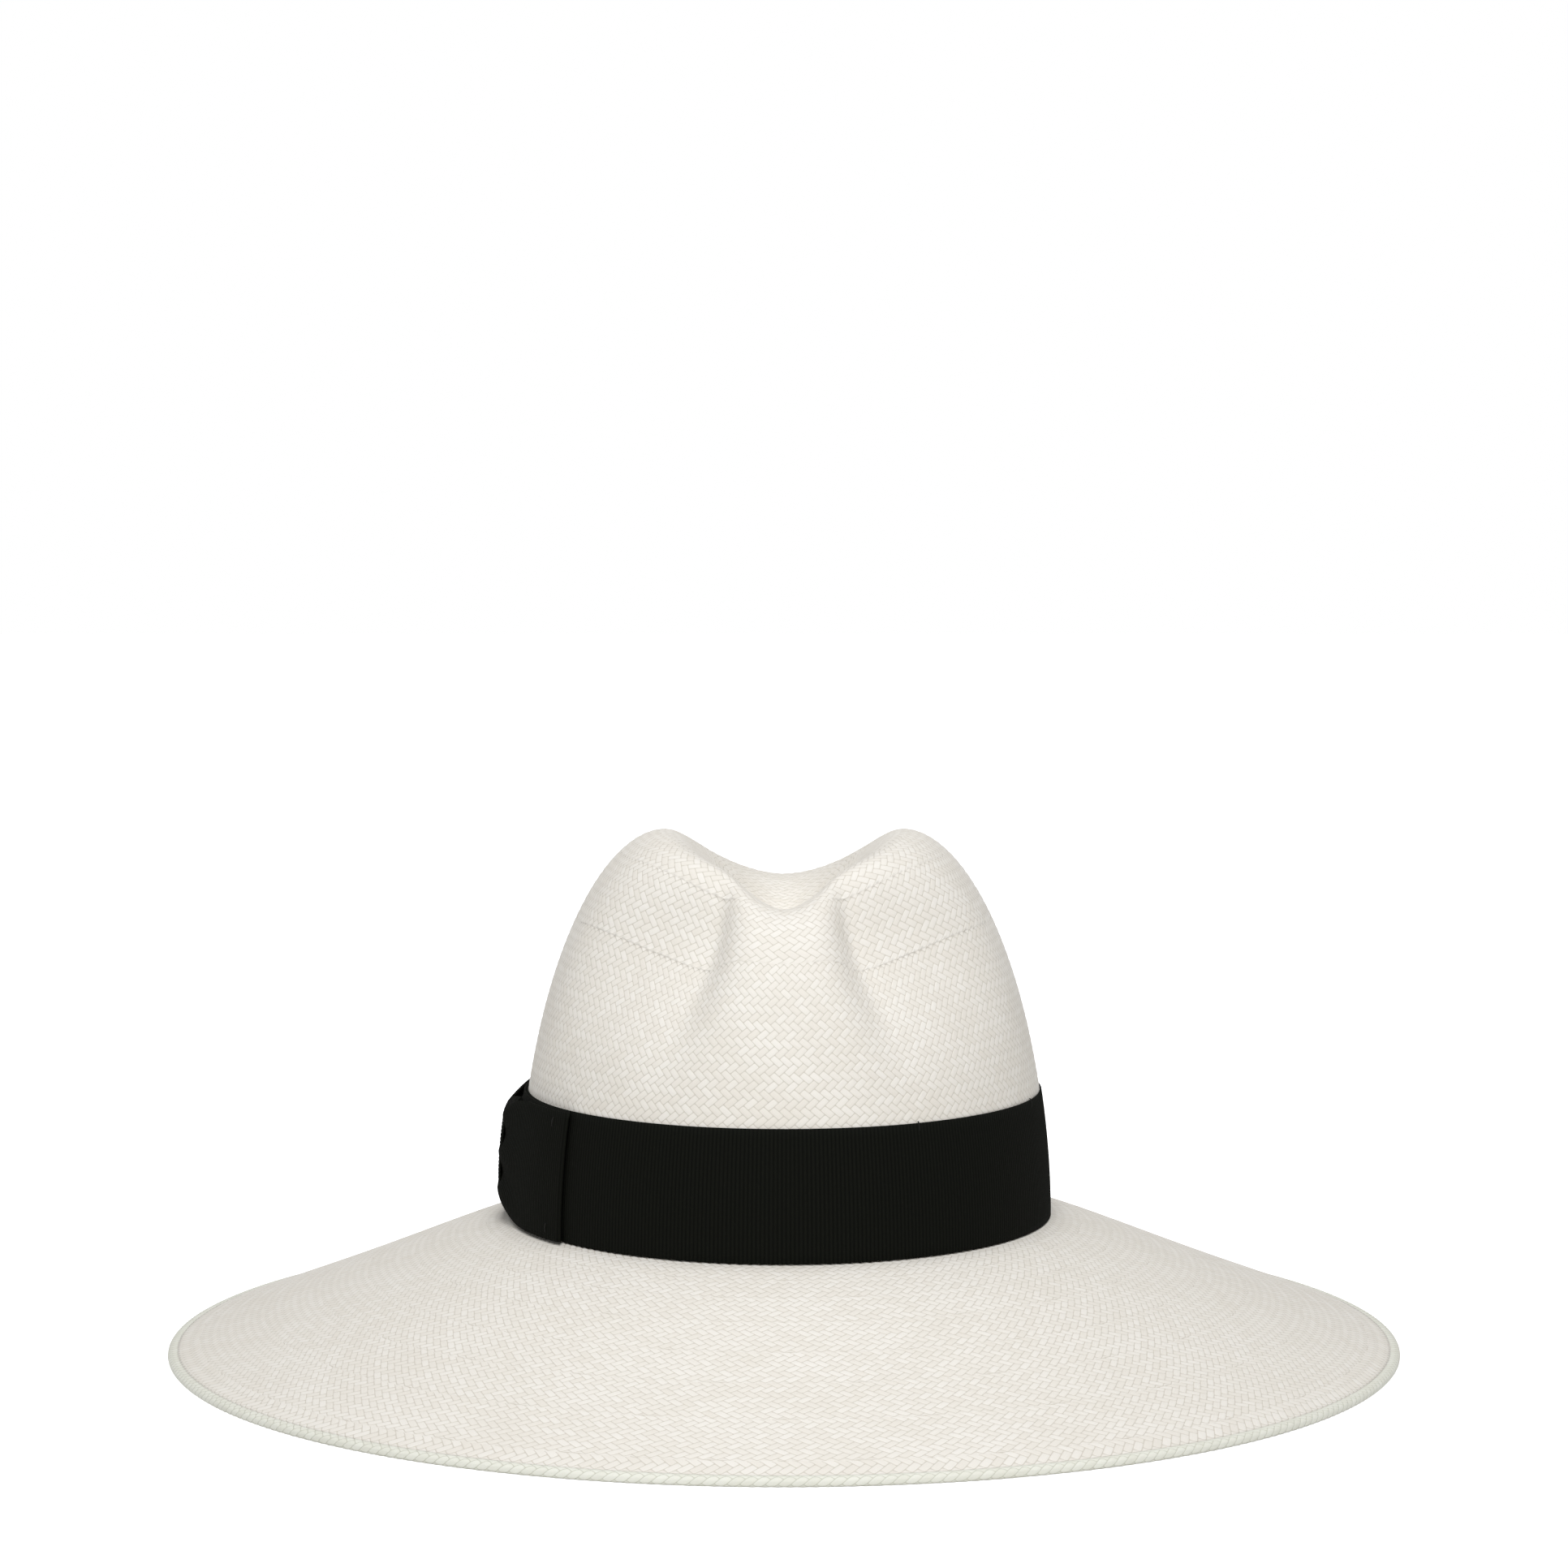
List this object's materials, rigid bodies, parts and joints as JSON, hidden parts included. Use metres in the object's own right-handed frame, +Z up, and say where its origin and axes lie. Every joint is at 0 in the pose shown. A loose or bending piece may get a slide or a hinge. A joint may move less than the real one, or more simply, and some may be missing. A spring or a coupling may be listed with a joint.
{
  "type": "panama hat",
  "caption": "Wide-brimmed woven straw panama hat with a pinched, dented crown, a turned-under brim edge, a black grosgrain hatband with a flat side bow, and a leather sweatband inside.",
  "frame": {"origin": "centre of the brim on the surface that the brim edge rests on", "axes": "+Z up through the crown; -Y is the front of the hat, with the pinches; -X is the wearer's left, with the bow"},
  "size_m": [0.3885, 0.4278, 0.1638],
  "materials": {
    "straw": "woven toquilla straw, bleached off-white, matt with a faint natural sheen",
    "grosgrain": "black corded grosgrain ribbon, dull",
    "thread": "off-white sewing thread",
    "dark_thread": "black sewing thread",
    "spring_wire": "spring steel wire and its crimped joining tube",
    "leather": "smooth tan sweatband leather",
    "reed": "extruded plastic reed",
    "cotton_tape": "cotton reed tape",
    "label": "blank woven size label"
  },
  "bodies": {
    "root": {"crown": "straw", "brim": "straw", "brim_hem": "straw", "brim_edge_wire": "spring_wire", "wire_joiner": "spring_wire", "hem_stitches": "thread", "hatband": "grosgrain", "bow_backing": "grosgrain", "bow_front_loop": "grosgrain", "bow_back_loop": "grosgrain", "bow_knot": "grosgrain", "hatband_tacks": "dark_thread", "bow_tacks": "dark_thread", "sweatband": "leather", "sweatband_reed": "reed", "reed_tape": "cotton_tape", "sweatband_stitches": "thread", "sweatband_bow": "grosgrain", "size_label": "label"}
  },
  "joints": []
}
